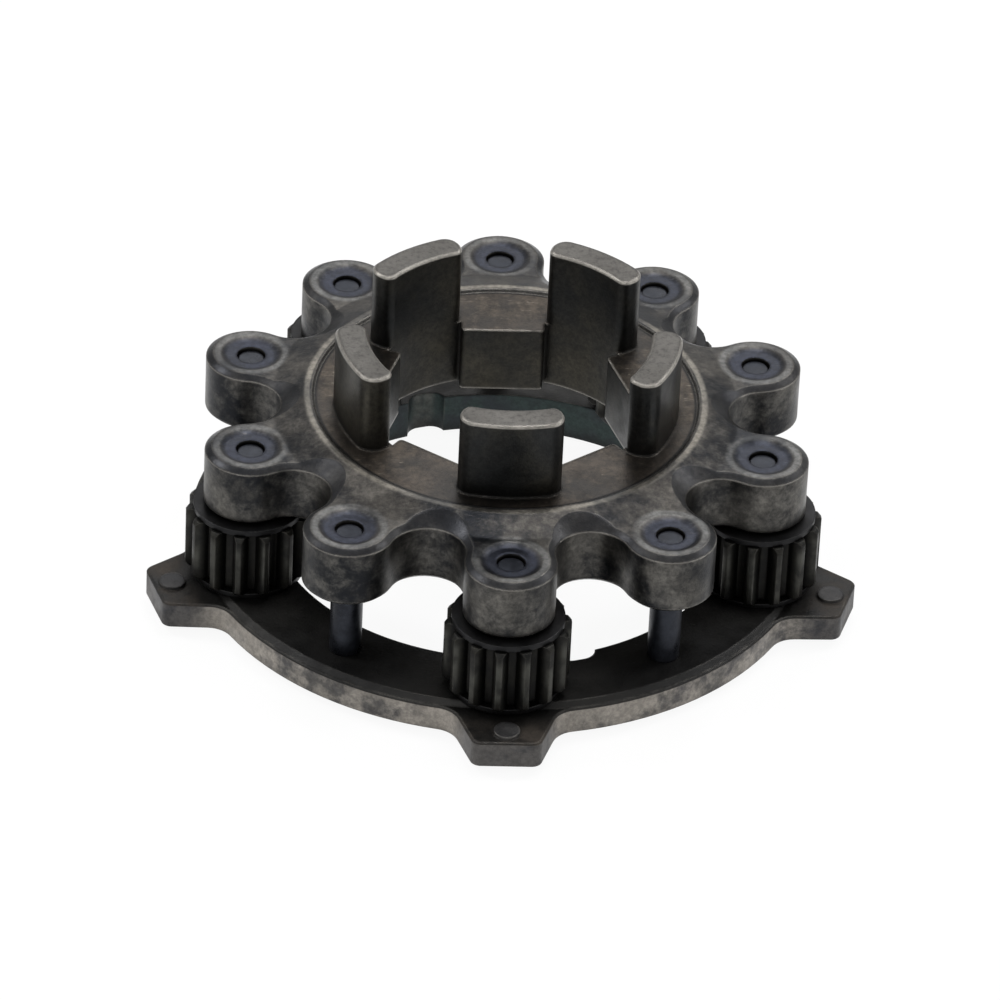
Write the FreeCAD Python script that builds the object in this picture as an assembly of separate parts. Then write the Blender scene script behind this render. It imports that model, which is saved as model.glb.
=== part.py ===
import FreeCAD, Part
import math
import os

# Planetary gear set: a clawed, lobed carrier plate over a tabbed ring, tied together by ten
# shouldered pins on one circle. Five of the pins carry spur pinions on needle rollers, and the
# five between them are plain spacer posts. The sun gear and the ring gear are other parts.
# Millimetres, +Z up. The origin is the centre of the ring's bore, on its lowest face.

V = FreeCAD.Vector

# Gearing
MODULE = 2.0
SUN_TEETH = 56
PINION_TEETH = 14
PRESSURE_ANGLE = 20.0
ADDENDUM = 0.8
DEDENDUM = 1.0
PROFILE_SHIFT = 0.4
BACKLASH = 0.10
TIP_CHAMFER = 0.9
FACE_WIDTH = 18.0
STATIONS = 5
FIRST_PINION_ANGLE = 270.0
SUN_PHASE = -1.0

# Pins, posts and rollers
JOURNAL_R = 4.2
PIN_END_R = 3.75
PIN_END_CHAMFER = 0.5
PIN_FIT = 0.02
PIN_TOP_RECESS = 0.9
PIN_FOOT_RECESS = 0.5
ROLLER_R = 2.0
ROLLER_END_PLAY = 0.45
JOURNAL_CLEARANCE = 0.02
RACE_CLEARANCE = 0.03

# Thrust washers
WASHER_R = 14.6
WASHER_T = 1.5
WASHER_BORE_CLEARANCE = 0.1
PINION_FLOAT = 0.15

# Tabbed ring: its widths are measured from the pin circle
RING_INSIDE_PINS = 9.7
RING_OUTSIDE_PINS = 11.9
FLANGE_T = 7.2
SPIGOT_STEP = 3.9
SPIGOT_H = 2.6
LAND_H = 1.2
RIM_WIDTH = 0.9
LAND_SLOPE_WIDTH = 1.4
RING_EDGE_CHAMFER = 0.5
TAB_REACH = 13.5
TAB_END_WIDTH = 17.0
TAB_ROOT_WIDTH = 25.0
TAB_ROOT_REACH = 2.0
TAB_CORNER_R = 2.8
TAB_ROOT_FILLET = 7.0
PAD_R = 3.4
PAD_HEIGHT = 0.8
PAD_INSET = 1.5
NOTCH_ANGLES = (108.0, 288.0)
NOTCH_WIDTH = 10.5
NOTCH_DEPTH = 2.8
NOTCH_CORNER_R = 4.0

# Carrier plate: its lobes, valleys and crest are measured from the pin circle
PLATE_T = 17.0
LOBE_R = 11.9
VALLEY_INSIDE_PINS = 11.3
LOWER_BEVEL = 1.2
EDGE_DROP = 1.2
EDGE_RUN = 1.8
DISH_R = 8.2
DISH_FLOOR_R = 6.4
DISH_DEPTH = 0.8
CREST_INSIDE_PINS = 17.3
CREST_WIDTH = 1.9
CREST_H = 2.4
CREST_APRON = 8.5
LEDGE_H = 1.7

# Claws and the tongues between them
CLAW_INSIDE_PINS = 32.7
CLAW_WALL = 8.0
CLAW_H = 24.0
CLAW_SPAN = 37.6
CLAW_OUTER_CORNER_R = 4.2
CLAW_INNER_CORNER_R = 2.4
CLAW_EDGE_CHAMFER = 0.6
TONGUE_REACH = 5.3
TONGUE_CORNER_R = 1.2

# Sizes that follow from the ones above
PIN_CIRCLE_R = MODULE * (SUN_TEETH + PINION_TEETH) / 2
RING_BORE_R = PIN_CIRCLE_R - RING_INSIDE_PINS
RING_R = PIN_CIRCLE_R + RING_OUTSIDE_PINS
SPIGOT_R = RING_R - SPIGOT_STEP
VALLEY_FLOOR_R = PIN_CIRCLE_R - VALLEY_INSIDE_PINS
CREST_R = PIN_CIRCLE_R - CREST_INSIDE_PINS
CLAW_IN_R = PIN_CIRCLE_R - CLAW_INSIDE_PINS
CLAW_OUT_R = CLAW_IN_R + CLAW_WALL
PITCH_R = MODULE * PINION_TEETH / 2
TIP_R = PITCH_R + MODULE * (ADDENDUM + PROFILE_SHIFT)
ROOT_R = PITCH_R - MODULE * (DEDENDUM - PROFILE_SHIFT)
BASE_R = PITCH_R * math.cos(math.radians(PRESSURE_ANGLE))
ROLLER_CIRCLE_R = JOURNAL_R + JOURNAL_CLEARANCE + ROLLER_R
RACE_R = ROLLER_CIRCLE_R + ROLLER_R + RACE_CLEARANCE
ROLLERS = int(math.pi / math.asin(ROLLER_R / ROLLER_CIRCLE_R))
FLANGE_TOP = SPIGOT_H + FLANGE_T
SEAT_Z = FLANGE_TOP + LAND_H
PINION_Z = SEAT_Z + WASHER_T + PINION_FLOAT
PLATE_Z = PINION_Z + FACE_WIDTH + PINION_FLOAT + WASHER_T
LOBE_TOP = PLATE_Z + PLATE_T
PITCH_ANGLE = 360.0 / STATIONS
LOBES = 2 * STATIONS

# Modelling aids: points this near count as one, and tools overlap what they join or cut by this
TOUCH = 0.001
OVERLAP = 1.0


def polar(radius, degrees, z=0.0):
    """Point at a radius and an angle about the main axis."""
    a = math.radians(degrees)
    return V(radius * math.cos(a), radius * math.sin(a), z)


def turned(shape, degrees):
    """Copy of a shape turned about the main axis."""
    copy = shape.copy()
    copy.rotate(V(0, 0, 0), V(0, 0, 1), degrees)
    return copy


def disc(radius, z_low, z_high, centre=V(0, 0, 0)):
    """Upright cylinder between two heights."""
    return Part.makeCylinder(radius, z_high - z_low, V(centre.x, centre.y, z_low))


def spun(outline):
    """Solid of revolution about Z from (radius, height) points."""
    points = [V(r, 0, z) for r, z in outline]
    face = Part.Face(Part.makePolygon(points + points[:1]))
    return face.revolve(V(0, 0, 0), V(0, 0, 1), 360)


def raised(wire, height):
    """Prism of a flat closed wire."""
    return Part.Face(wire).extrude(V(0, 0, height))


def arc(start, middle, end):
    """Edge of the circular arc through three points."""
    return Part.Arc(start, middle, end).toShape()


def upright_edges(shape, wanted):
    """Vertical edges that pass a test of their radius from the axis and their X."""
    found = []
    for edge in shape.Edges:
        low, high = edge.Vertexes[0].Point, edge.Vertexes[-1].Point
        upright = math.hypot(low.x - high.x, low.y - high.y) < TOUCH
        if upright and abs(low.z - high.z) > TOUCH and wanted(math.hypot(low.x, low.y), low.x):
            found.append(edge)
    return found


def level_edges(shape, z):
    """Edges that lie wholly at one height."""
    found = []
    for edge in shape.Edges:
        box = edge.BoundBox
        if abs(box.ZMin - z) < TOUCH and abs(box.ZMax - z) < TOUCH:
            found.append(edge)
    return found


# Stations: the pinions, claws and tabs share five angles, and the posts stand midway.

def pinion_angle(k):
    return FIRST_PINION_ANGLE + k * PITCH_ANGLE


def post_angle(k):
    return pinion_angle(k) + PITCH_ANGLE / 2


# Pinions

def involute(angle):
    return math.tan(angle) - angle


def tooth_half_angle(radius):
    """Half the angle that a tooth fills at a radius."""
    pressure = math.radians(PRESSURE_ANGLE)
    thickness = MODULE * (math.pi / 2 + 2 * PROFILE_SHIFT * math.tan(pressure)) - BACKLASH
    at_pitch = thickness / (2 * PITCH_R)
    unwound = involute(pressure) - involute(math.acos(min(1.0, BASE_R / radius)))
    return math.degrees(at_pitch + unwound)


def flank(middle, side):
    """One flank of a tooth, from the base circle to the tip.

    It is the circular arc through three points of the involute, which leaves the true curve by
    less than a hundredth of a millimetre."""
    points = []
    for radius in (BASE_R, (BASE_R + TIP_R) / 2, TIP_R):
        points.append(polar(radius, middle + side * tooth_half_angle(radius)))
    return arc(*points), points[0], points[-1]


def tooth_space_foot(base_point, radius):
    """Foot of the radial stretch below an involute flank."""
    return V(base_point.x, base_point.y, 0) * (radius / base_point.Length)


def pinion_outline():
    """Closed outline of the teeth: involute flanks, short radial feet and round roots."""
    edges = []
    pitch = 360.0 / PINION_TEETH
    foot_r = (ROOT_R + BASE_R) / 2
    for i in range(PINION_TEETH):
        middle = i * pitch
        rising, rise_base, rise_tip = flank(middle, -1)
        falling, fall_base, fall_tip = flank(middle, 1)
        rise_foot = tooth_space_foot(rise_base, foot_r)
        fall_foot = tooth_space_foot(fall_base, foot_r)
        next_foot = turned(Part.Vertex(rise_foot), pitch).Point
        edges.append(Part.makeLine(rise_foot, rise_base))
        edges.append(rising)
        edges.append(arc(rise_tip, polar(TIP_R, middle), fall_tip))
        edges.append(falling)
        edges.append(Part.makeLine(fall_base, fall_foot))
        edges.append(arc(fall_foot, polar(ROOT_R, middle + pitch / 2), next_foot))
    return Part.Wire(Part.__sortEdges__(edges))


def pinion_at_centre():
    """Spur pinion about the Z axis, bored for the rollers, with turned chamfers on the tips."""
    gear = raised(pinion_outline(), FACE_WIDTH)
    blank = spun([
        (RACE_R, 0),
        (TIP_R - TIP_CHAMFER, 0),
        (TIP_R + TIP_CHAMFER, 2 * TIP_CHAMFER),
        (TIP_R + TIP_CHAMFER, FACE_WIDTH - 2 * TIP_CHAMFER),
        (TIP_R - TIP_CHAMFER, FACE_WIDTH),
        (RACE_R, FACE_WIDTH),
    ])
    return gear.common(blank)


def pinion_turn(k):
    """Turn of pinion k about its own pin, so that one sun gear would mesh with all five.

    A sun tooth stands at SUN_PHASE; the pinion shows it a tooth space where they meet."""
    angle = pinion_angle(k)
    sun_turn = angle - SUN_PHASE
    facing_sun = angle + 180.0
    half_pitch = 180.0 / PINION_TEETH
    return facing_sun + half_pitch + sun_turn * SUN_TEETH / PINION_TEETH


def pinion(k):
    gear = turned(pinion_at_centre(), pinion_turn(k))
    gear.translate(polar(PIN_CIRCLE_R, pinion_angle(k), PINION_Z))
    return gear


def needle_rollers(k):
    """Full complement of rollers between pin k and its pinion, each a solid of its own."""
    centre = polar(PIN_CIRCLE_R, pinion_angle(k))
    low = PINION_Z - PINION_FLOAT + ROLLER_END_PLAY
    high = PINION_Z + FACE_WIDTH + PINION_FLOAT - ROLLER_END_PLAY
    rollers = []
    for i in range(ROLLERS):
        spot = centre + polar(ROLLER_CIRCLE_R, i * 360.0 / ROLLERS)
        rollers.append(disc(ROLLER_R, low, high, spot))
    return Part.makeCompound(rollers)


# Pins, posts and washers

def shouldered_pin(angle):
    """Pin with a thick journal between the plates and thinner ends set into both of them."""
    top = LOBE_TOP - DISH_DEPTH - PIN_TOP_RECESS
    bevel = PIN_END_CHAMFER
    pin = spun([
        (0, PIN_FOOT_RECESS),
        (PIN_END_R, PIN_FOOT_RECESS),
        (PIN_END_R, SEAT_Z),
        (JOURNAL_R, SEAT_Z),
        (JOURNAL_R, PLATE_Z),
        (PIN_END_R, PLATE_Z),
        (PIN_END_R, top - bevel),
        (PIN_END_R - bevel, top),
        (0, top),
    ])
    pin.translate(polar(PIN_CIRCLE_R, angle))
    return pin


def thrust_washer(k, z_low):
    """Hardened washer between a pinion and one of the plates."""
    spot = polar(PIN_CIRCLE_R, pinion_angle(k))
    washer = disc(WASHER_R, z_low, z_low + WASHER_T, spot)
    return washer.cut(disc(JOURNAL_R + WASHER_BORE_CLEARANCE, z_low, z_low + WASHER_T, spot))


def pin_holes(z_low, z_high):
    """The ten holes that take the pin ends."""
    holes = []
    for i in range(LOBES):
        spot = polar(PIN_CIRCLE_R, FIRST_PINION_ANGLE + i * 360.0 / LOBES)
        holes.append(disc(PIN_END_R + PIN_FIT, z_low, z_high, spot))
    return Part.makeCompound(holes)


# Tabbed ring

def tab():
    """One drive tab, lying along +X, with slanting sides and round end corners."""
    end_r = RING_R + TAB_REACH
    root_r = RING_R + TAB_ROOT_REACH
    slope = (TAB_ROOT_WIDTH - TAB_END_WIDTH) / 2 / (end_r - root_r)
    inner_r = RING_R - RIM_WIDTH - TAB_ROOT_FILLET / 2
    inner_half = TAB_ROOT_WIDTH / 2 + slope * (root_r - inner_r)
    points = [
        V(inner_r, -inner_half, SPIGOT_H),
        V(end_r, -TAB_END_WIDTH / 2, SPIGOT_H),
        V(end_r, TAB_END_WIDTH / 2, SPIGOT_H),
        V(inner_r, inner_half, SPIGOT_H),
    ]
    blank = raised(Part.makePolygon(points + points[:1]), FLANGE_T)
    corners = upright_edges(blank, lambda radius, x: x > end_r - TOUCH)
    return blank.makeFillet(TAB_CORNER_R, corners)


def tab_pad():
    """Low round pad on a tab's top, near its outer end."""
    centre = V(RING_R + TAB_REACH - PAD_INSET - PAD_R, 0, 0)
    return disc(PAD_R, FLANGE_TOP - OVERLAP, FLANGE_TOP + PAD_HEIGHT, centre)


def ring_notch(angle):
    """Shallow slot in the wall of the ring's bore, right through it."""
    length = 2 * NOTCH_DEPTH
    slot = Part.makeBox(length, NOTCH_WIDTH, SEAT_Z, V(RING_BORE_R - NOTCH_DEPTH, -NOTCH_WIDTH / 2, 0))
    corners = upright_edges(slot, lambda radius, x: x > RING_BORE_R)
    return turned(slot.makeFillet(NOTCH_CORNER_R, corners), angle)


def tabbed_ring():
    """Flat ring with five drive tabs, a locating spigot under it and a raised land on top."""
    flange = disc(RING_R, SPIGOT_H, FLANGE_TOP)
    flange = flange.multiFuse([turned(tab(), pinion_angle(k)) for k in range(STATIONS)]).removeSplitter()
    roots = upright_edges(flange, lambda radius, x: abs(radius - RING_R) < TOUCH)
    flange = flange.makeFillet(TAB_ROOT_FILLET, roots)
    flange = flange.makeChamfer(RING_EDGE_CHAMFER, level_edges(flange, FLANGE_TOP))
    land_foot_r = RING_R - RIM_WIDTH
    hub = spun([
        (0, 0),
        (SPIGOT_R, 0),
        (SPIGOT_R, FLANGE_TOP),
        (land_foot_r, FLANGE_TOP),
        (land_foot_r - LAND_SLOPE_WIDTH, SEAT_Z),
        (0, SEAT_Z),
    ])
    ring = flange.fuse(hub)
    ring = ring.cut(disc(RING_BORE_R, 0, SEAT_Z))
    ring = ring.cut(Part.makeCompound([ring_notch(angle) for angle in NOTCH_ANGLES]))
    ring = ring.cut(pin_holes(0, SEAT_Z))
    pads = [turned(tab_pad(), pinion_angle(k)) for k in range(STATIONS)]
    return ring.multiFuse(pads).removeSplitter()


# Carrier plate

def valley_radius():
    """Radius of the arc that joins two lobes and just reaches the valley floor."""
    c = math.cos(math.pi / LOBES)
    top = PIN_CIRCLE_R ** 2 + VALLEY_FLOOR_R ** 2 - LOBE_R ** 2 - 2 * PIN_CIRCLE_R * VALLEY_FLOOR_R * c
    return top / (2 * (LOBE_R + PIN_CIRCLE_R * c - VALLEY_FLOOR_R))


def lobed_wire(inset, z):
    """Outline of the plate, drawn in by an inset: lobe arcs joined by tangent valley arcs."""
    edges = []
    pitch = 360.0 / LOBES
    valley_r = valley_radius()
    for i in range(LOBES):
        angle = FIRST_PINION_ANGLE + i * pitch
        lobe = polar(PIN_CIRCLE_R, angle, z)
        before = polar(VALLEY_FLOOR_R + valley_r, angle - pitch / 2, z)
        after = polar(VALLEY_FLOOR_R + valley_r, angle + pitch / 2, z)
        following = polar(PIN_CIRCLE_R, angle + pitch, z)
        share = (LOBE_R - inset) / (LOBE_R + valley_r)
        start = lobe + (before - lobe) * share
        end = lobe + (after - lobe) * share
        next_start = following + (after - following) * share
        floor = polar(VALLEY_FLOOR_R - inset, angle + pitch / 2, z)
        edges.append(arc(start, polar(PIN_CIRCLE_R + LOBE_R - inset, angle, z), end))
        edges.append(arc(end, floor, next_start))
    return Part.Wire(edges)


def plate_blank():
    """Lobed disc whose top edge slopes, cut to the turned face with its raised crest."""
    shoulder = LOBE_TOP - EDGE_DROP
    crown = LOBE_TOP + CREST_H + OVERLAP
    inset = (crown - shoulder) * EDGE_RUN / EDGE_DROP
    sill = PLATE_Z + LOWER_BEVEL
    bevel = Part.makeLoft([lobed_wire(LOWER_BEVEL, PLATE_Z), lobed_wire(0, sill)], True, True)
    prism = raised(lobed_wire(0, sill), shoulder - sill)
    slope = Part.makeLoft([lobed_wire(0, shoulder), lobed_wire(inset, crown)], True, True)
    reach = PIN_CIRCLE_R + LOBE_R + OVERLAP
    crest_in = CREST_R - CREST_WIDTH
    turned_face = spun([
        (CLAW_IN_R, PLATE_Z),
        (reach, PLATE_Z),
        (reach, LOBE_TOP),
        (CREST_R + CREST_APRON, LOBE_TOP),
        (CREST_R, LOBE_TOP + CREST_H),
        (crest_in, LOBE_TOP + CREST_H),
        (crest_in - (CREST_H - LEDGE_H), LOBE_TOP + LEDGE_H),
        (CLAW_IN_R, LOBE_TOP + LEDGE_H),
    ])
    return prism.multiFuse([bevel, slope]).common(turned_face)


def claw():
    """One claw about the +X axis: a curved dog with round corners and a bevelled top."""
    half = CLAW_SPAN / 2
    z = LOBE_TOP
    outline = Part.Wire([
        arc(polar(CLAW_OUT_R, -half, z), polar(CLAW_OUT_R, 0, z), polar(CLAW_OUT_R, half, z)),
        Part.makeLine(polar(CLAW_OUT_R, half, z), polar(CLAW_IN_R, half, z)),
        arc(polar(CLAW_IN_R, half, z), polar(CLAW_IN_R, 0, z), polar(CLAW_IN_R, -half, z)),
        Part.makeLine(polar(CLAW_IN_R, -half, z), polar(CLAW_OUT_R, -half, z)),
    ])
    body = raised(outline, CLAW_H)
    middle_r = (CLAW_IN_R + CLAW_OUT_R) / 2
    body = body.makeFillet(CLAW_OUTER_CORNER_R, upright_edges(body, lambda radius, x: radius > middle_r))
    inner = upright_edges(body, lambda radius, x: abs(radius - CLAW_IN_R) < TOUCH)
    body = body.makeFillet(CLAW_INNER_CORNER_R, inner)
    return body.makeChamfer(CLAW_EDGE_CHAMFER, level_edges(body, LOBE_TOP + CLAW_H))


def tongue():
    """One tongue about the +X axis: it fills the bore between two claws with a flat face."""
    half = CLAW_IN_R * math.sin(math.radians((PITCH_ANGLE - CLAW_SPAN) / 2))
    face_x = CLAW_IN_R - TONGUE_REACH
    height = PLATE_T + LEDGE_H
    block = Part.makeBox(TONGUE_REACH + OVERLAP, 2 * half, height, V(face_x, -half, PLATE_Z))
    corners = upright_edges(block, lambda radius, x: x < face_x + TOUCH)
    return block.makeFillet(TONGUE_CORNER_R, corners)


def lobe_dish(angle):
    """Shallow dish round a pin's end."""
    cutter = spun([
        (0, LOBE_TOP - DISH_DEPTH),
        (DISH_FLOOR_R, LOBE_TOP - DISH_DEPTH),
        (DISH_R, LOBE_TOP),
        (DISH_R, LOBE_TOP + CREST_H),
        (0, LOBE_TOP + CREST_H),
    ])
    cutter.translate(polar(PIN_CIRCLE_R, angle))
    return cutter


def carrier_plate():
    """Lobed plate with five claws, one piece, holding the upper ends of the ten pins."""
    claws = [turned(claw(), pinion_angle(k)) for k in range(STATIONS)]
    tongues = [turned(tongue(), post_angle(k)) for k in range(STATIONS)]
    plate = plate_blank().multiFuse(claws + tongues).removeSplitter()
    dishes = [lobe_dish(FIRST_PINION_ANGLE + i * 360.0 / LOBES) for i in range(LOBES)]
    plate = plate.cut(Part.makeCompound(dishes))
    return plate.cut(pin_holes(PLATE_Z, LOBE_TOP))


def save(node, shape):
    solids = shape.Solids
    ready = solids[0] if len(solids) == 1 else Part.makeCompound(solids)
    ready.exportStep("parts/" + node + ".step")
    print(node, "solids", len(solids), "valid", ready.isValid(), "volume", round(ready.Volume, 1))


def main():
    os.makedirs("parts", exist_ok=True)
    save("carrier_plate", carrier_plate())
    save("tabbed_ring", tabbed_ring())
    for k in range(STATIONS):
        number = "_" + str(k + 1)
        save("pinion" + number, pinion(k))
        save("pinion_pin" + number, shouldered_pin(pinion_angle(k)))
        save("spacer_post" + number, shouldered_pin(post_angle(k)))
        save("needle_rollers" + number, needle_rollers(k))
        save("lower_thrust_washer" + number, thrust_washer(k, SEAT_Z))
        save("upper_thrust_washer" + number, thrust_washer(k, PLATE_Z - WASHER_T))


main()
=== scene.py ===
# %% [markdown]
# A planetary gear set is mostly dark, oily steel: a forged carrier plate with five claws, a tabbed
# ring under it, ten pins that tie the two together, and five pinions between them. The solids come
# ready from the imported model, so this lesson is about finish: what makes a grey solid read as an
# old forging, a turned face or a worn gear tooth. First the model is loaded and its box is kept.

# %% Load the frame
import bpy
import math
from mathutils import Matrix, Vector


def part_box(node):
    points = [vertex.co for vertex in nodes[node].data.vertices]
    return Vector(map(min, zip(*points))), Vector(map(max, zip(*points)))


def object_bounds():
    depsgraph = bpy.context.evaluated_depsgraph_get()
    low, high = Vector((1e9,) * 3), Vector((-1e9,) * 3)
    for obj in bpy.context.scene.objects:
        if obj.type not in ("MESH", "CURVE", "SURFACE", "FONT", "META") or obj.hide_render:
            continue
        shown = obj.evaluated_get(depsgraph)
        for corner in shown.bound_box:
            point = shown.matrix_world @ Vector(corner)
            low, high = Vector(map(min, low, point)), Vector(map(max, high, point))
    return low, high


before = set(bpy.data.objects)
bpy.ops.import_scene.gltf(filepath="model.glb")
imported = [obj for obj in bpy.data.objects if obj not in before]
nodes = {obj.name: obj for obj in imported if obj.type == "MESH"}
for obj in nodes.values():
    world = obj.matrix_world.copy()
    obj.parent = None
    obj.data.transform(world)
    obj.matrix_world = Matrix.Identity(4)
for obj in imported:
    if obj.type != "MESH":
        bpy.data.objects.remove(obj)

MM = 0.001
cad_low, cad_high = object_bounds()
print("nodes", len(nodes), "size in mm", [round(v / MM, 1) for v in cad_high - cad_low])

# %% [markdown]
# Every finish below asks where on the part it is: on a claw, on the ledge or on a lobe's flank.
# These heights and radii answer that. They are read from the boxes of the nodes where a box shows
# them, and a few short steps, such as a claw's height, are named here.

# %% Measure the places that the finishes need
CLAW_HEIGHT = 24.0 * MM
CLAW_OUTER_RADIUS = 46.2 * MM
LEDGE_RADIUS = 50.2 * MM
CREST_TOP_RADIUS = 52.2 * MM
PIN_CIRCLE_RADIUS = 70.0 * MM
LOBES = 10
FIRST_LOBE_ANGLE = 18.0
PIN_HEAD_RADIUS = 3.75 * MM
DISH_RADIUS = 8.2 * MM
RING_RADIUS = 81.9 * MM
RING_BORE_RADIUS = 60.3 * MM
PAD_FOOT = 9.8 * MM
TOOTH_TIP_RADIUS = 16.4 * MM

claw_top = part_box("carrier_plate")[1].z
lobe_top = claw_top - CLAW_HEIGHT
pinion_foot, pinion_top = (corner.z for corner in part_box("pinion_1"))
places = {"claw top": claw_top, "lobe top": lobe_top, "pinion foot": pinion_foot, "pinion top": pinion_top}
print("heights in mm", {name: round(height / MM, 2) for name, height in places.items()})

# %% [markdown]
# A material is a small graph of nodes. Written out in full, each graph is long and hard to follow,
# so each of these short helpers adds a node and hands back the socket that the next one needs. A
# colour is given as the eye reads it, from 0 to 255, and turned into the linear values of a shader.

# %% Helpers that add nodes
def tone(red, green, blue):
    """Linear colour from the values that a screen shows."""
    def linear(value):
        value = value / 255
        return value / 12.92 if value <= 0.04045 else ((value + 0.055) / 1.055) ** 2.4
    return (linear(red), linear(green), linear(blue), 1.0)


def plug(tree, socket, value):
    """Sets a socket, or links it where the value is another socket."""
    if isinstance(value, bpy.types.NodeSocket):
        tree.links.new(value, socket)
    else:
        socket.default_value = value


def add(tree, kind, inputs=None, **settings):
    """Adds a shader node with its settings and named inputs."""
    made = tree.nodes.new("ShaderNode" + kind)
    for name, value in settings.items():
        setattr(made, name, value)
    for name, value in (inputs or {}).items():
        plug(tree, made.inputs[name], value)
    return made


print("mid grey in a shader", [round(value, 3) for value in tone(128, 128, 128)])

# %% [markdown]
# Most of a finish is masks: values from 0 to 1 that say how much of a tone shows at a point. A mask
# could be painted by hand, but one worked out from heights, distances and noise fits every copy of
# a piece at once. So the next helpers do sums on values, and turn a length into a soft-edged mask.

# %% Helpers that work out masks
def maths(tree, operation, first, second=0.0):
    """One sum on two values."""
    made = add(tree, "Math", operation=operation)
    plug(tree, made.inputs[0], first)
    plug(tree, made.inputs[1], second)
    return made.outputs[0]


def times(tree, first, second):
    """The product of two values, which is where two masks overlap."""
    return maths(tree, "MULTIPLY", first, second)


def step_up(tree, value, low, high):
    """0 below low, 1 above high and a smooth rise between them."""
    limits = {"Value": value, "From Min": low, "From Max": high}
    return add(tree, "MapRange", limits, interpolation_type="SMOOTHSTEP").outputs["Result"]


def step_down(tree, value, low, high):
    """1 below low, 0 above high and a smooth fall between them."""
    return maths(tree, "SUBTRACT", 1.0, step_up(tree, value, low, high))


def band(tree, value, start, full, fade, end):
    """1 between full and fade, and 0 below start and above end."""
    return times(tree, step_up(tree, value, start, full), step_up(tree, value, end, fade))


def rescale(tree, value, low, high):
    """A value from 0 to 1 spread over low to high."""
    return add(tree, "MapRange", {"Value": value, "To Min": low, "To Max": high}).outputs["Result"]


def noise(tree, where, scale, detail, roughness, distortion=0.0):
    """A noise texture's value, from 0 to 1."""
    made = add(tree, "TexNoise", {"Vector": where, "Scale": scale, "Detail": detail, "Roughness": roughness})
    made.inputs["Distortion"].default_value = distortion
    return made.outputs["Fac"]


def colour_mix(tree, factor, first, second):
    """Mixes two colours."""
    made = add(tree, "Mix", data_type="RGBA")
    plug(tree, made.inputs[0], factor)
    plug(tree, made.inputs[6], first)
    plug(tree, made.inputs[7], second)
    return made.outputs[2]


def value_mix(tree, factor, first, second):
    """Mixes two values."""
    made = add(tree, "Mix", data_type="FLOAT")
    plug(tree, made.inputs[0], factor)
    plug(tree, made.inputs[2], first)
    plug(tree, made.inputs[3], second)
    return made.outputs[0]


# %% [markdown]
# An effect that several materials use, such as worn edges, is built once as a node group with named
# inputs and outputs. Each material then places the group and sets its own sizes, so a better edge
# mask improves every finish that uses it.

# %% Helpers for node groups
def new_group(name, inputs, outputs):
    """An empty node group with float inputs and typed outputs."""
    group = bpy.data.node_groups.new(name, "ShaderNodeTree")
    for label, value in inputs.items():
        group.interface.new_socket(label, in_out="INPUT", socket_type="NodeSocketFloat").default_value = value
    for label, kind in outputs.items():
        group.interface.new_socket(label, in_out="OUTPUT", socket_type=kind)
    return group, group.nodes.new("NodeGroupInput").outputs, group.nodes.new("NodeGroupOutput").inputs


def place(tree, group, **values):
    """Places a group in a tree; an underscore in a name stands for a space."""
    made = tree.nodes.new("ShaderNodeGroup")
    made.node_tree = group
    for name, value in values.items():
        plug(tree, made.inputs[name.replace("_", " ")], value)
    return made.outputs


MASK = "NodeSocketFloat"
print("masks are sockets of the kind", MASK)

# %% [markdown]
# Edges that are handled, knocked and rubbed lose their dark skin and shine. A bevel node gives the
# normal that a rounded edge would have, so the more it differs from the true normal, the nearer
# the edge. It can't tell an edge from a corner, so a second node looks out from the surface, and
# where it sees metal close by the mask is cut. Noise then breaks the line up as real wear does. The
# rounded normal leaves the group too, so that the bump of a finish can start from it.

# %% Edge wear
def build_edge_wear():
    group, given, out = new_group(
        "edge wear",
        {"Width": 0.6 * MM, "Patch Size": 5 * MM, "Evenness": 0.5, "Amount": 1.0},
        {"Wear": MASK, "Rounded Normal": "NodeSocketVector"},
    )
    rounded = add(group, "Bevel", {"Radius": given["Width"]}, samples=6)
    true = add(group, "NewGeometry")
    agree = add(group, "VectorMath", operation="DOT_PRODUCT")
    group.links.new(rounded.outputs[0], agree.inputs[0])
    group.links.new(true.outputs["True Normal"], agree.inputs[1])
    bend = step_up(group, maths(group, "SUBTRACT", 1.0, agree.outputs["Value"]), 0.03, 0.22)
    reach = times(group, given["Width"], 3.0)
    sky = add(group, "AmbientOcclusion", {"Distance": reach}, samples=6)
    outward = step_up(group, sky.outputs["AO"], 0.72, 0.9)
    here = add(group, "TexCoord").outputs["Object"]
    scale = maths(group, "DIVIDE", 1.0, given["Patch Size"])
    patches = noise(group, here, scale, 4.0, 0.6)
    share = maths(group, "SUBTRACT", 0.75, times(group, given["Evenness"], 0.6))
    broken = step_up(group, patches, share, maths(group, "ADD", share, 0.22))
    worn = times(group, times(group, bend, outward), broken)
    group.links.new(times(group, worn, given["Amount"]), out["Wear"])
    group.links.new(rounded.outputs[0], out["Rounded Normal"])
    return group


EDGE_WEAR = build_edge_wear()
print("built group", EDGE_WEAR.name)

# %% [markdown]
# A used forging isn't one grey. Oil and heat stain it in soft clouds, and where it rubs, the clouds
# break into smaller patches with a fine grain inside them. Three sizes of noise give the three, and
# each leaves the group as a mask of its own, so that a finish can use them for different tones.

# %% Clouds, patches and grain
GRAIN_PER_METRE = 620.0


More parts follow.
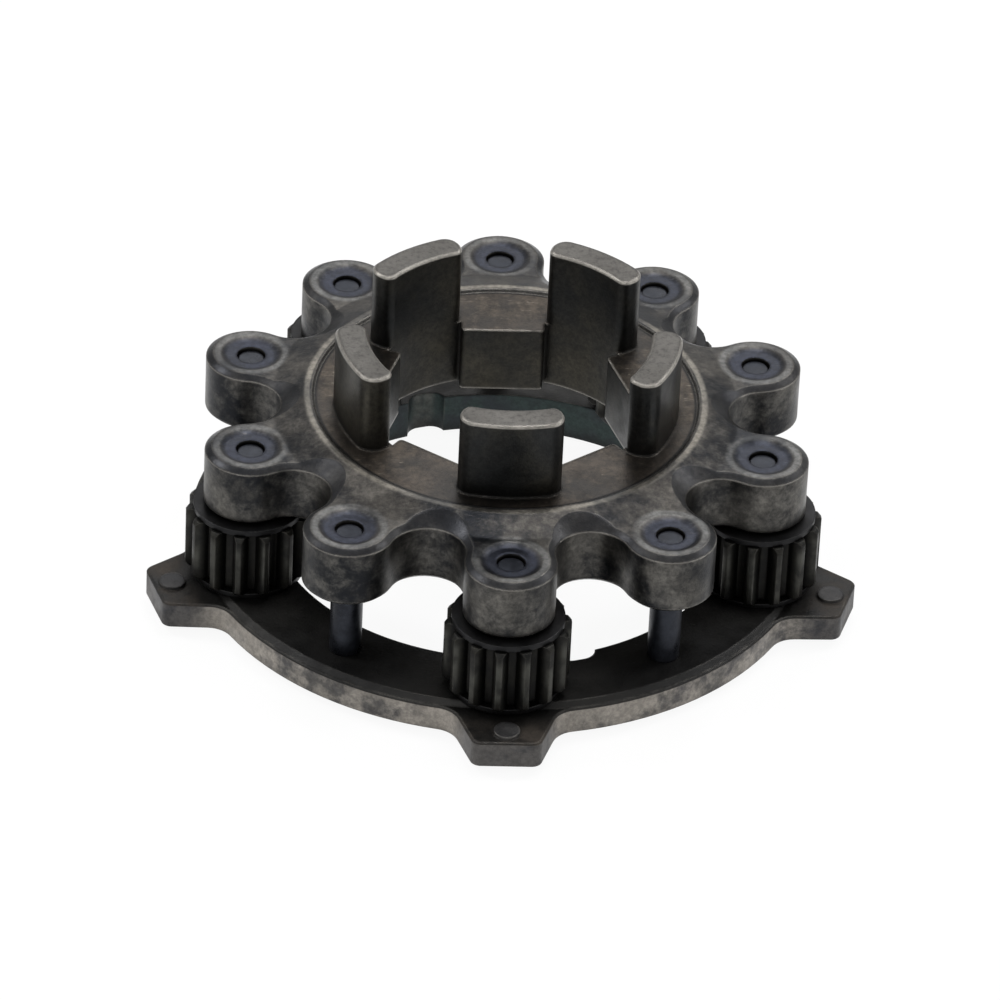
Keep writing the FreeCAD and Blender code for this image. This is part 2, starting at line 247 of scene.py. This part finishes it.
def build_stain():
    group, given, out = new_group(
        "stain",
        {"Cloud Size": 18 * MM, "Patch Size": 5 * MM, "Share": 0.5, "Softness": 0.25, "Seed": 0.0},
        {"Clouds": MASK, "Patches": MASK, "Grain": MASK},
    )
    here = add(group, "TexCoord").outputs["Object"]
    shifted = add(group, "VectorMath", operation="ADD")
    group.links.new(here, shifted.inputs[0])
    group.links.new(given["Seed"], shifted.inputs[1])
    spot = shifted.outputs["Vector"]
    cloud_scale = maths(group, "DIVIDE", 1.0, given["Cloud Size"])
    clouds = noise(group, spot, cloud_scale, 4.0, 0.55, distortion=0.3)
    patch_scale = maths(group, "DIVIDE", 1.0, given["Patch Size"])
    patches = noise(group, spot, patch_scale, 7.0, 0.68, distortion=0.2)
    grain = noise(group, spot, GRAIN_PER_METRE, 6.0, 0.8)
    both = maths(group, "ADD", times(group, clouds, 0.5), times(group, patches, 0.5))
    cut = maths(group, "SUBTRACT", 0.66, times(group, given["Share"], 0.32))
    reach = times(group, given["Softness"], 0.5)
    low, high = maths(group, "SUBTRACT", cut, reach), maths(group, "ADD", cut, reach)
    group.links.new(step_up(group, clouds, 0.32, 0.68), out["Clouds"])
    group.links.new(step_up(group, both, low, high), out["Patches"])
    group.links.new(step_up(group, grain, 0.35, 0.65), out["Grain"])
    return group


STAIN = build_stain()
print("built group", STAIN.name)

# %% [markdown]
# Close up, forged and cast skin is finely pebbled, with a few pits, and a rubbed face has scratches
# that run every way. The pebbles are a fine noise, the pits are the small cells of a Voronoi
# pattern, and the scratches are noise stretched long in two directions. These leave as one height,
# which a bump node turns into light and shade. One set of scratches also leaves as a mask of
# scuffs, because on the rubbed ledge and lobe tops they show as pale marks.

# %% Skin of a forging
SCRATCH_STRETCHES = ((120, 700, 300), (700, 140, 300))


def build_skin():
    group, given, out = new_group(
        "forged skin",
        {"Pebble Size": 0.7 * MM, "Pit Share": 0.3, "Scratches": 0.3},
        {"Height": MASK, "Scuffs": MASK},
    )
    here = add(group, "TexCoord").outputs["Object"]
    fine = maths(group, "DIVIDE", 1.0, given["Pebble Size"])
    pebbles = noise(group, here, fine, 3.0, 0.6)
    pit_scale = times(group, fine, 0.35)
    cells = add(group, "TexVoronoi", {"Vector": here, "Scale": pit_scale, "Randomness": 1.0})
    pits = step_down(group, cells.outputs["Distance"], 0.08, 0.26)
    marks = []
    for stretch in SCRATCH_STRETCHES:
        along = add(group, "VectorMath", operation="MULTIPLY")
        group.links.new(here, along.inputs[0])
        along.inputs[1].default_value = stretch
        marks.append(step_up(group, noise(group, along.outputs["Vector"], 2.0, 4.0, 0.7), 0.6, 0.66))
    scratched = times(group, maths(group, "MAXIMUM", marks[0], marks[1]), given["Scratches"])
    sunk = times(group, pits, given["Pit Share"])
    height = maths(group, "SUBTRACT", maths(group, "SUBTRACT", pebbles, sunk), scratched)
    group.links.new(height, out["Height"])
    between_pits = step_up(group, cells.outputs["Distance"], 0.2, 0.5)
    group.links.new(times(group, marks[0], between_pits), out["Scuffs"])
    return group


SKIN = build_skin()
print("built group", SKIN.name)

# %% [markdown]
# Oily grime does the opposite of wear: it gathers where a brush can't reach. Shade falls there too,
# so this darkening is partly grime and partly painted shade. The same look-out node that spared the
# corners from wear finds them here, with a longer reach.

# %% Grime and painted shade in the corners
def build_corner_grime_and_shade():
    group, given, out = new_group("corner grime and shade", {"Reach": 5 * MM, "Amount": 1.0}, {"Grime And Shade": MASK})
    sky = add(group, "AmbientOcclusion", {"Distance": given["Reach"]}, samples=8)
    # Closed-in places turn dark: painted shade in corners and crevices, with the oily grime that gathers
    # there.
    closed = step_down(group, sky.outputs["AO"], 0.35, 0.95)
    group.links.new(times(group, closed, given["Amount"]), out["Grime And Shade"])
    return group


CORNER_GRIME_AND_SHADE = build_corner_grime_and_shade()
print("built group", CORNER_GRIME_AND_SHADE.name)

# %% [markdown]
# Four things about a point settle most of its finish: how high it is, how far from the main axis,
# how far from the nearest pin, and which way its surface faces. The ten pins stand at even angles,
# so the point's own angle is folded into one tenth of a turn, and the law of cosines then gives the
# distance from the pin. Lengths leave the group in metres, and the rest as masks.

# %% Where a point is and which way it faces
def build_whereabouts():
    results = ("Height", "Radius", "From Pin", "Facing Up", "Slope", "Wall")
    group, given, out = new_group("whereabouts", {}, {name: MASK for name in results})
    here = add(group, "TexCoord")
    spot = add(group, "SeparateXYZ", {"Vector": here.outputs["Object"]})
    aim = add(group, "SeparateXYZ", {"Vector": here.outputs["Normal"]})
    x_squared = maths(group, "POWER", spot.outputs["X"], 2.0)
    y_squared = maths(group, "POWER", spot.outputs["Y"], 2.0)
    squared = maths(group, "ADD", x_squared, y_squared)
    radius = maths(group, "SQRT", squared)
    tenth = 2 * math.pi / LOBES
    angle = maths(group, "ARCTAN2", spot.outputs["Y"], spot.outputs["X"])
    turns = maths(group, "DIVIDE", maths(group, "SUBTRACT", angle, math.radians(FIRST_LOBE_ANGLE)), tenth)
    folded = maths(group, "SUBTRACT", maths(group, "FRACT", maths(group, "ADD", turns, 0.5)), 0.5)
    cosine = maths(group, "COSINE", times(group, folded, tenth))
    shared = times(group, times(group, radius, cosine), 2 * PIN_CIRCLE_RADIUS)
    apart = maths(group, "SUBTRACT", maths(group, "ADD", squared, PIN_CIRCLE_RADIUS ** 2), shared)
    group.links.new(spot.outputs["Z"], out["Height"])
    group.links.new(radius, out["Radius"])
    group.links.new(maths(group, "SQRT", maths(group, "MAXIMUM", apart, 0.0)), out["From Pin"])
    group.links.new(step_up(group, aim.outputs["Z"], 0.6, 0.95), out["Facing Up"])
    group.links.new(band(group, aim.outputs["Z"], 0.6, 0.7, 0.9, 0.97), out["Slope"])
    steepness = maths(group, "ABSOLUTE", aim.outputs["Z"])
    group.links.new(step_down(group, steepness, 0.3, 0.75), out["Wall"])
    return group


WHEREABOUTS = build_whereabouts()
print("built group", WHEREABOUTS.name)

# %% [markdown]
# Each finish is one material around a Principled shader. Its metallic value stays below one where the
# skin is oily and oxidised, as that is only partly bare metal, and only the rollers have a full one.

# %% Start and close a finish
def start_finish(name):
    """A new material with its shader, and its node tree."""
    material = bpy.data.materials.new(name)
    material.use_nodes = True
    tree = material.node_tree
    shader = tree.nodes["Principled BSDF"]
    return material, tree, shader


def set_bump(tree, shader, height, depth, normal):
    """Feeds a height to the shader's normal, at a depth in metres and on top of another normal."""
    bump = add(tree, "Bump", {"Height": height, "Distance": depth, "Strength": 1.0, "Normal": normal})
    tree.links.new(bump.outputs["Normal"], shader.inputs["Normal"])


def dress(material, *stems):
    """Puts a material on every node whose name starts with one of the stems."""
    count = 0
    for name, node in nodes.items():
        if name.startswith(stems):
            for slot in node.material_slots:
                slot.material = material
            count += 1
    print(material.name, "on", count, "nodes")


# %% [markdown]
# The carrier plate is a dark oily forging, and its tone goes with the place. The lobe tops and webs
# are blue-black with brown-grey clouds, each dish is darker still, and the bead round a dish carries
# a pale ring of painted highlight. The ledge round the claws is brown with old oil. One long list of
# mixes would give all this, but it is easier to follow place by place, so each place has a function
# of its own.

# %% Tones of the lobe tops and the ledge
def carrier_top(tree, spot, stain, rubs, skin):
    """Tones of the lobe tops and webs, with the dishes and a painted highlight on the beads round them."""
    top = colour_mix(tree, stain["Patches"], tone(31, 33, 37), tone(76, 73, 69))
    top = colour_mix(tree, times(tree, rubs["Patches"], 0.6), top, tone(112, 108, 102))
    dish = step_down(tree, spot["From Pin"], DISH_RADIUS - 2 * MM, DISH_RADIUS)
    top = colour_mix(tree, dish, top, colour_mix(tree, rubs["Clouds"], tone(43, 46, 55), tone(60, 63, 74)))
    top = colour_mix(tree, times(tree, skin["Scuffs"], 0.15), top, tone(128, 125, 119))
    # A pale ring on the bead round each dish: a painted highlight, broken up by the clouds.
    bead_highlight = band(tree, spot["From Pin"], *(DISH_RADIUS + step * MM for step in (-0.8, 0.2, 1.0, 2.2)))
    bead_highlight = times(tree, bead_highlight, rescale(tree, rubs["Clouds"], 0.1, 0.75))
    return colour_mix(tree, bead_highlight, top, tone(124, 124, 123))


def carrier_ledge(tree, stain, rubs, skin):
    """Brown oil and pale scuffs on the ledge round the claws."""
    oily = colour_mix(tree, stain["Clouds"], tone(46, 43, 40), tone(68, 61, 54))
    ledge = colour_mix(tree, rubs["Patches"], oily, tone(86, 78, 69))
    return colour_mix(tree, times(tree, skin["Scuffs"], rubs["Patches"]), ledge, tone(140, 132, 121))


print("a dish is", round(2 * DISH_RADIUS / MM, 1), "mm wide")

# %% [markdown]
# The crest between the webs and the ledge stands proud, so it is rubbed bare, and its pale band is
# also a painted highlight. A dark line of painted shade lies in the groove inside it. The walls of the
# claws are nearly black, partly dark steel and partly painted shade, and their end faces are bare,
# because they slide against another part, with a bright border of painted highlight round each end.

# %% Marks of the crest and the claws
def add_crest_and_ledge(tree, colour, spot, rubs, ledge):
    """Draws the rubbed crest with its painted highlight, the ledge inside it and painted shade in the groove.
    """
    # A pale band along the crest: rubbed wear and a painted highlight.
    crest = band(tree, spot["Radius"], *(CREST_TOP_RADIUS + step * MM for step in (-1.1, -0.6, 0.1, 1.2)))
    crest = times(tree, crest, rescale(tree, rubs["Clouds"], 0.2, 1.0))
    colour = colour_mix(tree, crest, colour, tone(140, 135, 126))
    within = step_down(tree, spot["Radius"], LEDGE_RADIUS - 0.8 * MM, LEDGE_RADIUS - 0.3 * MM)
    colour = colour_mix(tree, times(tree, within, spot["Facing Up"]), colour, ledge)
    # A dark line in the groove inside the crest: painted shade.
    groove_shade = band(tree, spot["Radius"], *(LEDGE_RADIUS + step * MM for step in (-1.2, -0.5, 0.4, 0.9)))
    return colour_mix(tree, groove_shade, colour, tone(26, 25, 24))


def add_claws(tree, colour, spot, stain, rubs):
    """Draws the walls of the claws and the bore in painted shade, and the bare ends with a painted highlight
    round them.
    """
    # The walls of the claws and of the bore: dark steel, darkened further with painted shade.
    shaded_claw_wall = colour_mix(tree, stain["Clouds"], tone(42, 43, 43), tone(66, 63, 55))
    above = step_up(tree, spot["Height"], lobe_top + 2.2 * MM, lobe_top + 4 * MM)
    colour = colour_mix(tree, above, colour, shaded_claw_wall)
    inside = step_down(tree, spot["Radius"], CLAW_OUTER_RADIUS, CLAW_OUTER_RADIUS + 1 * MM)
    colour = colour_mix(tree, times(tree, inside, spot["Wall"]), colour, shaded_claw_wall)
    claw_end = colour_mix(tree, rubs["Grain"], tone(60, 58, 56), tone(112, 109, 104))
    ends = step_up(tree, spot["Height"], claw_top - 0.9 * MM, claw_top - 0.5 * MM)
    colour = colour_mix(tree, ends, colour, claw_end)
    # A bright line round each claw end: a painted highlight along the chamfer.
    border_highlight = band(tree, spot["Height"], *(claw_top + step * MM for step in (-0.8, -0.6, -0.15, 0.0)))
    return colour_mix(tree, times(tree, border_highlight, 0.8), colour, tone(158, 154, 147))


print("the crest lies", round((CREST_TOP_RADIUS - LEDGE_RADIUS) / MM, 1), "mm outside the ledge's edge")

# %% [markdown]
# Put together, the plate's finish goes from large to small: the flanks and tops first, then the
# crest and claws, then grain over everything, grime and painted shade in the corners, and bare steel
# on the worn edges last, since wear takes off whatever lies over it.

# %% Finish of the carrier plate
def forged_carrier():
    material, tree, shader = start_finish("forged_carrier")
    spot = place(tree, WHEREABOUTS)
    stain = place(tree, STAIN, Cloud_Size=24 * MM, Patch_Size=9 * MM, Share=0.48, Softness=0.2)
    rubs = place(tree, STAIN, Cloud_Size=14 * MM, Patch_Size=4 * MM, Share=0.34, Softness=0.22, Seed=0.43)
    skin = place(tree, SKIN, Pebble_Size=0.5 * MM, Pit_Share=0.25, Scratches=0.15)
    away_from_pin = step_up(tree, spot["From Pin"], PIN_HEAD_RADIUS + 0.6 * MM, PIN_HEAD_RADIUS + 1.6 * MM)
    wear = place(tree, EDGE_WEAR, Width=1.3 * MM, Patch_Size=9 * MM, Evenness=0.85, Amount=away_from_pin)
    grime_and_shade = place(tree, CORNER_GRIME_AND_SHADE, Reach=7 * MM, Amount=0.85)

    flank = colour_mix(tree, stain["Patches"], tone(26, 28, 32), tone(82, 80, 76))
    flank = colour_mix(tree, times(tree, rubs["Patches"], 0.5), flank, tone(136, 133, 127))
    colour = colour_mix(tree, spot["Facing Up"], flank, carrier_top(tree, spot, stain, rubs, skin))
    # The sloped outer edge of each lobe top, past the dish, is darkened: painted shade.
    past_dish = step_up(tree, spot["From Pin"], DISH_RADIUS + 1 * MM, DISH_RADIUS + 2 * MM)
    rim_shade = times(tree, times(tree, spot["Slope"], past_dish), 0.8)
    colour = colour_mix(tree, rim_shade, colour, tone(32, 33, 36))
    colour = add_crest_and_ledge(tree, colour, spot, rubs, carrier_ledge(tree, stain, rubs, skin))
    colour = add_claws(tree, colour, spot, stain, rubs)
    colour = colour_mix(tree, times(tree, rubs["Grain"], 0.5), colour, tone(22, 22, 24))
    # Darker in closed-in corners: painted shade, with oily grime.
    colour = colour_mix(tree, grime_and_shade["Grime And Shade"], colour, tone(20, 19, 18))
    colour = colour_mix(tree, wear["Wear"], colour, tone(162, 158, 151))

    tree.links.new(colour, shader.inputs["Base Color"])
    rough = rescale(tree, rubs["Clouds"], 0.28, 0.46)
    tree.links.new(value_mix(tree, wear["Wear"], rough, 0.3), shader.inputs["Roughness"])
    shader.inputs["Metallic"].default_value = 0.85
    set_bump(tree, shader, skin["Height"], 0.05 * MM, wear["Rounded Normal"])
    return material


dress(forged_carrier(), "carrier_plate")

# %% [markdown]
# The ring is cast iron. Its raised land, on which the washers rest, is flat, nearly black and smooth
# with oil. Its outer wall and the tabs are a warmer grey with a coarser skin, stained blue-black in
# places, and the tabs' tops are brown towards their ends.

# %% Finish of the tabbed ring
def cast_ring():
    material, tree, shader = start_finish("cast_ring")
    spot = place(tree, WHEREABOUTS)
    stain = place(tree, STAIN, Cloud_Size=26 * MM, Patch_Size=6 * MM, Share=0.66, Softness=0.14, Seed=0.31)
    rubs = place(tree, STAIN, Cloud_Size=9 * MM, Patch_Size=2.5 * MM, Share=0.5, Softness=0.3, Seed=0.87)
    skin = place(tree, SKIN, Pebble_Size=0.8 * MM, Pit_Share=0.35, Scratches=0.1)
    wear = place(tree, EDGE_WEAR, Width=0.9 * MM, Patch_Size=7 * MM, Evenness=0.6, Amount=0.45)
    grime_and_shade = place(tree, CORNER_GRIME_AND_SHADE, Reach=6 * MM, Amount=0.9)

    wall = colour_mix(tree, stain["Patches"], tone(66, 65, 67), tone(152, 146, 138))
    wall = colour_mix(tree, times(tree, rubs["Patches"], 0.4), wall, tone(124, 121, 115))
    out_on_tab = step_up(tree, spot["Radius"], RING_RADIUS, RING_RADIUS + 9 * MM)
    wall = colour_mix(tree, times(tree, out_on_tab, 0.75), wall, tone(48, 49, 53))
    deck = colour_mix(tree, stain["Clouds"], tone(20, 20, 20), tone(34, 33, 31))
    tab_top = colour_mix(tree, rubs["Clouds"], tone(25, 25, 25), tone(62, 56, 50))
    deck = colour_mix(tree, out_on_tab, deck, tab_top)
    raised = step_up(tree, spot["Height"], PAD_FOOT, PAD_FOOT + 0.4 * MM)
    pad = times(tree, raised, step_up(tree, spot["Radius"], RING_RADIUS, RING_RADIUS + 1 * MM))
    deck = colour_mix(tree, pad, deck, colour_mix(tree, rubs["Clouds"], tone(40, 40, 42), tone(68, 67, 67)))
    colour = colour_mix(tree, spot["Wall"], deck, wall)
    inner = step_down(tree, spot["Radius"], RING_BORE_RADIUS + 2 * MM, RING_BORE_RADIUS + 4 * MM)
    bore_wall = colour_mix(tree, rubs["Clouds"], tone(46, 52, 56), tone(64, 78, 76))
    colour = colour_mix(tree, times(tree, inner, spot["Wall"]), colour, bore_wall)
    colour = colour_mix(tree, times(tree, rubs["Grain"], 0.4), colour, tone(24, 23, 23))
    # Darker in closed-in corners: painted shade, with oily grime.
    colour = colour_mix(tree, grime_and_shade["Grime And Shade"], colour, tone(18, 17, 16))
    colour = colour_mix(tree, wear["Wear"], colour, tone(140, 136, 128))

    tree.links.new(colour, shader.inputs["Base Color"])
    tree.links.new(rescale(tree, rubs["Clouds"], 0.4, 0.6), shader.inputs["Roughness"])
    shader.inputs["Metallic"].default_value = 0.7
    set_bump(tree, shader, skin["Height"], 0.07 * MM, wear["Rounded Normal"])
    return material


dress(cast_ring(), "tabbed_ring")

# %% [markdown]
# The pinions are case-hardened and black with oil. Only the crests and flanks of the teeth, which
# roll on the sun and ring gears, are polished, and less so towards both ends of the face, where the
# mating gears are narrower. So the polish is a mask of distance from the pin and of height.

# %% Finish of the pinions
def black_pinion():
    material, tree, shader = start_finish("black_pinion")
    spot = place(tree, WHEREABOUTS)
    stain = place(tree, STAIN, Cloud_Size=6 * MM, Patch_Size=2 * MM, Share=0.45, Softness=0.25, Seed=0.53)
    skin = place(tree, SKIN, Pebble_Size=0.4 * MM, Pit_Share=0.1, Scratches=0.2)
    wear = place(tree, EDGE_WEAR, Width=0.7 * MM, Patch_Size=4 * MM, Evenness=0.8, Amount=0.6)
    grime_and_shade = place(tree, CORNER_GRIME_AND_SHADE, Reach=4 * MM, Amount=1.0)

    polish = step_up(tree, spot["From Pin"], TOOTH_TIP_RADIUS - 1.6 * MM, TOOTH_TIP_RADIUS - 0.4 * MM)
    rise = (pinion_foot + 1 * MM, pinion_foot + 5 * MM)
    fall = (pinion_top - 4 * MM, pinion_top - 1 * MM)
    mid_face = band(tree, spot["Height"], *rise, *fall)
    polish = times(tree, times(tree, polish, mid_face), rescale(tree, stain["Clouds"], 0.15, 1.0))
    colour = colour_mix(tree, stain["Patches"], tone(24, 24, 24), tone(40, 39, 35))
    colour = colour_mix(tree, polish, colour, tone(64, 64, 60))
    # Darker in closed-in corners: painted shade, with oily grime.
    colour = colour_mix(tree, grime_and_shade["Grime And Shade"], colour, tone(14, 14, 13))
    colour = colour_mix(tree, wear["Wear"], colour, tone(84, 82, 77))

    tree.links.new(colour, shader.inputs["Base Color"])
    tree.links.new(value_mix(tree, polish, 0.45, 0.28), shader.inputs["Roughness"])
    shader.inputs["Metallic"].default_value = 0.85
    set_bump(tree, shader, skin["Height"], 0.02 * MM, wear["Rounded Normal"])
    return material


dress(black_pinion(), "pinion_1", "pinion_2", "pinion_3", "pinion_4", "pinion_5")

# %% [markdown]
# Pins and posts are ground steel gone blue-black, and the rollers and washers are hardened and oily.
# One recipe serves all three, with its own tones and gloss each time.

# %% Finish of the ground pieces
def ground_steel(name, dark, light, bright_edge, metallic, roughness, grime_and_shade_amount):
    material, tree, shader = start_finish(name)
    stain = place(tree, STAIN, Cloud_Size=7 * MM, Patch_Size=2.5 * MM, Share=0.5, Softness=0.3, Seed=0.77)
    skin = place(tree, SKIN, Pebble_Size=0.35 * MM, Pit_Share=0.1, Scratches=0.3)
    wear = place(tree, EDGE_WEAR, Width=0.5 * MM, Patch_Size=3 * MM, Evenness=0.8, Amount=0.9)
    grime_and_shade = place(tree, CORNER_GRIME_AND_SHADE, Reach=4 * MM, Amount=grime_and_shade_amount)

    colour = colour_mix(tree, stain["Patches"], dark, light)
    # Darker in closed-in corners: painted shade, with oily grime.
    colour = colour_mix(tree, grime_and_shade["Grime And Shade"], colour, tone(18, 17, 17))
    colour = colour_mix(tree, wear["Wear"], colour, bright_edge)

    tree.links.new(colour, shader.inputs["Base Color"])
    rough = rescale(tree, stain["Clouds"], roughness - 0.08, roughness + 0.1)
    tree.links.new(rough, shader.inputs["Roughness"])
    shader.inputs["Metallic"].default_value = metallic
    set_bump(tree, shader, skin["Height"], 0.015 * MM, wear["Rounded Normal"])
    return material


oiled_pin = ground_steel(
    "oiled_pin", tone(28, 30, 36), tone(48, 51, 58), tone(42, 43, 47),
    metallic=0.8, roughness=0.34, grime_and_shade_amount=0.4)
polished_roller = ground_steel(
    "polished_roller", tone(120, 120, 120), tone(160, 160, 158), tone(190, 188, 184),
    metallic=1.0, roughness=0.25, grime_and_shade_amount=0.9)
hardened_washer = ground_steel(
    "hardened_washer", tone(22, 22, 24), tone(34, 34, 35), tone(44, 44, 44),
    metallic=0.8, roughness=0.4, grime_and_shade_amount=1.0)
dress(oiled_pin, "pinion_pin", "spacer_post")
dress(polished_roller, "needle_rollers")
dress(hardened_washer, "lower_thrust", "upper_thrust")

# %% [markdown]
# The camera stands where the picture's camera stood: well back with a long lens, 35 degrees up, and
# tipped a little to one side. It could be placed by eye, but these values come from fitting the ten
# pin heads, which are easy to see and lie on a known circle. The aim point is the middle of the lobe
# tops, moved a little across and down the view.

# %% Camera
CAMERA_AZIMUTH = -2.758
CAMERA_ELEVATION = 35.073
CAMERA_ROLL = 2.766
CAMERA_DISTANCE = 2139.2 * MM
LENS_MM = 294.5
AIM_ACROSS = -1.459 * MM
AIM_UP = -25.067 * MM


def direction(azimuth, elevation):
    """The unit vector out from the part, with azimuth 0 in front and 90 on the right."""
    a, e = math.radians(azimuth), math.radians(elevation)
    return Vector((math.sin(a) * math.cos(e), -math.cos(a) * math.cos(e), math.sin(e)))


def stand_camera():
    back = direction(CAMERA_AZIMUTH, CAMERA_ELEVATION)
    azimuth, roll = math.radians(CAMERA_AZIMUTH), math.radians(CAMERA_ROLL)
    level = Vector((math.cos(azimuth), math.sin(azimuth), 0.0))
    upright = back.cross(level)
    across = level * math.cos(roll) + upright * math.sin(roll)
    up = upright * math.cos(roll) - level * math.sin(roll)
    data = bpy.data.cameras.new("camera")
    data.sensor_width = 36.0
    data.lens = LENS_MM
    data.clip_start, data.clip_end = 0.1, 50.0
    camera = bpy.data.objects.new("camera", data)
    bpy.context.scene.collection.objects.link(camera)
    spot = back * CAMERA_DISTANCE + across * AIM_ACROSS + up * AIM_UP + Vector((0, 0, lobe_top))
    turn = Matrix((across, up, back)).transposed().to_4x4()
    camera.matrix_world = Matrix.Translation(spot) @ turn
    bpy.context.scene.camera = camera
    return camera


print("camera at", [round(v, 3) for v in stand_camera().matrix_world.translation])

# %% [markdown]
# A pale floor under the part catches its shadow. Seen by the camera it is lifted towards white, and
# the same goes for the world round it, so the picture ends in white without any more light on the
# part. From below the floor is clear, so that the underside can be looked at.

# %% Floor and world
FLOOR_RADIUS = 6.0
FLOOR_LIFT = 0.92
ROOM_LIGHT = 0.55


def lay_floor():
    middle = (0, 0, cad_low.z)
    bpy.ops.mesh.primitive_circle_add(vertices=64, radius=FLOOR_RADIUS, fill_type="NGON", location=middle)
    floor = bpy.context.object
    floor.name = "floor"
    material = bpy.data.materials.new("floor_white")
    material.use_nodes = True
    tree = material.node_tree
    tree.nodes.clear()
    matt = add(tree, "BsdfDiffuse", {"Color": (0.86, 0.86, 0.86, 1)})
    lift = add(tree, "Emission", {"Color": (1, 1, 1, 1), "Strength": 1.0})
    ray = add(tree, "LightPath")
    seen = maths(tree, "MAXIMUM", ray.outputs["Is Camera Ray"], ray.outputs["Is Glossy Ray"])
    lit = add(tree, "MixShader")
    tree.links.new(times(tree, seen, FLOOR_LIFT), lit.inputs["Fac"])
    tree.links.new(matt.outputs[0], lit.inputs[1])
    tree.links.new(lift.outputs[0], lit.inputs[2])
    clear = add(tree, "BsdfTransparent")
    side = add(tree, "MixShader")
    tree.links.new(add(tree, "NewGeometry").outputs["Backfacing"], side.inputs["Fac"])
    tree.links.new(lit.outputs[0], side.inputs[1])
    tree.links.new(clear.outputs[0], side.inputs[2])
    tree.links.new(side.outputs[0], add(tree, "OutputMaterial").inputs["Surface"])
    floor.data.materials.append(material)


def light_world():
    world = bpy.data.worlds.new("studio")
    bpy.context.scene.world = world
    world.use_nodes = True
    tree = world.node_tree
    tree.nodes.clear()
    ray = add(tree, "LightPath")
    seen = maths(tree, "MAXIMUM", ray.outputs["Is Camera Ray"], ray.outputs["Is Transmission Ray"])
    room = add(tree, "Background", {"Color": (1, 1, 1, 1), "Strength": ROOM_LIGHT})
    white = add(tree, "Background", {"Color": (1, 1, 1, 1), "Strength": 1.0})
    both = add(tree, "MixShader")
    tree.links.new(seen, both.inputs["Fac"])
    tree.links.new(room.outputs[0], both.inputs[1])
    tree.links.new(white.outputs[0], both.inputs[2])
    tree.links.new(both.outputs[0], add(tree, "OutputWorld").inputs["Surface"])


lay_floor()
light_world()
print("floor at height", round(cad_low.z / MM, 2), "mm, world", bpy.context.scene.world.name)

# %% [markdown]
# Six soft lamps, as in a product studio. The main one stands above and in front to the left, a
# weaker one lights the right side, and one from behind draws light along the far edges. Dark oily
# steel shows mostly what it reflects, so a smaller lamp overhead and one on each side give the tops
# and the walls something bright to mirror.

# %% Lamps
def hang_lamp(name, azimuth, elevation, distance, size, power):
    """A round area lamp that faces the part, with its distance and size in metres and its power in watts."""
    away = direction(azimuth, elevation)
    data = bpy.data.lights.new(name, "AREA")
    data.shape = "DISK"
    data.size = size
    data.energy = power
    lamp = bpy.data.objects.new(name, data)
    lamp.location = away * distance
    lamp.rotation_mode = "QUATERNION"
    lamp.rotation_quaternion = (-away).to_track_quat("-Z", "Y")
    bpy.context.scene.collection.objects.link(lamp)
    return lamp


lamps = [
    hang_lamp("main_lamp", azimuth=-35, elevation=50, distance=1.4, size=0.9, power=3.5),
    hang_lamp("top_lamp", azimuth=150, elevation=82, distance=1.3, size=0.4, power=5.0),
    hang_lamp("side_lamp", azimuth=70, elevation=30, distance=1.4, size=0.8, power=3.0),
    hang_lamp("back_lamp", azimuth=175, elevation=45, distance=1.5, size=0.9, power=4.0),
    hang_lamp("left_lamp", azimuth=-105, elevation=48, distance=1.3, size=0.4, power=6.0),
    hang_lamp("right_lamp", azimuth=115, elevation=45, distance=1.3, size=0.4, power=5.0),
]
print("hung", len(lamps), "lamps:", [lamp.name for lamp in lamps])

# %% [markdown]
# Last come the view settings.

# %% View settings
bpy.context.scene.view_settings.view_transform = "Standard"
